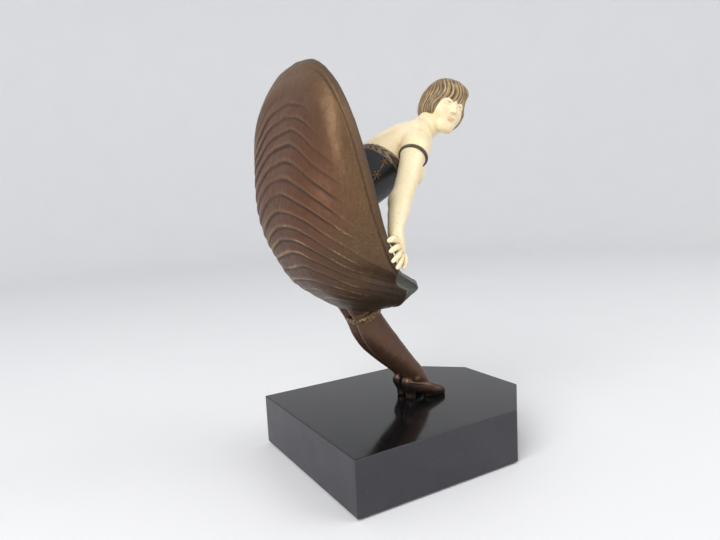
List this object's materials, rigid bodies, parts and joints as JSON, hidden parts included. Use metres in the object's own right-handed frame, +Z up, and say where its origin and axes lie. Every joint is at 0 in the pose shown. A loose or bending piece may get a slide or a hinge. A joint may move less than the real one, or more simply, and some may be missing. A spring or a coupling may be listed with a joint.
{
  "type": "statuette",
  "caption": "Bronze and ivory statuette of a bowing dancer, her ribbed skirt standing up behind her like a shell, on a polished black stone base with two cut corners.",
  "frame": {"origin": "centre of the underside of the felt under the base", "axes": "+Z up, +X the way the dancer bows, +Y the dancer's left-hand side"},
  "size_m": [0.1465, 0.115, 0.2245],
  "materials": {
    "stone": "black marble or slate, polished, with fine grey flecks",
    "felt": "dark green felt",
    "bronze": "cast bronze with a red-brown patina, rubbed golden on the crests and edges",
    "stocking": "cast bronze with a dark red-brown patina",
    "gilt": "cast bronze, gilt and worn",
    "lacquer": "cast bronze, cold-painted near black with gilt trim",
    "ivory": "carved ivory, satin polished, stained ochre in the hollows and brown on the hair",
    "steel": "plain turned steel"
  },
  "bodies": {
    "root": {"marble_base": "stone", "base_felt": "felt", "stud_right": "steel", "stud_washer_right": "steel", "stud_nut_right": "steel", "stud_left": "steel", "stud_washer_left": "steel", "stud_nut_left": "steel", "leg_right": "stocking", "leg_left": "stocking", "petticoat_band": "gilt", "hip_casting": "bronze", "skirt_screw_upper": "steel", "skirt_screw_lower": "steel", "waist_rod": "steel", "skirt": "bronze", "torso": "ivory", "bodice": "lacquer", "head": "ivory", "neck_dowel": "steel", "arm_right": "ivory", "shoulder_dowel_right": "steel", "hand_pin_right": "steel", "armlet_right": "lacquer", "arm_left": "ivory", "shoulder_dowel_left": "steel", "hand_pin_left": "steel", "armlet_left": "lacquer"}
  },
  "joints": []
}
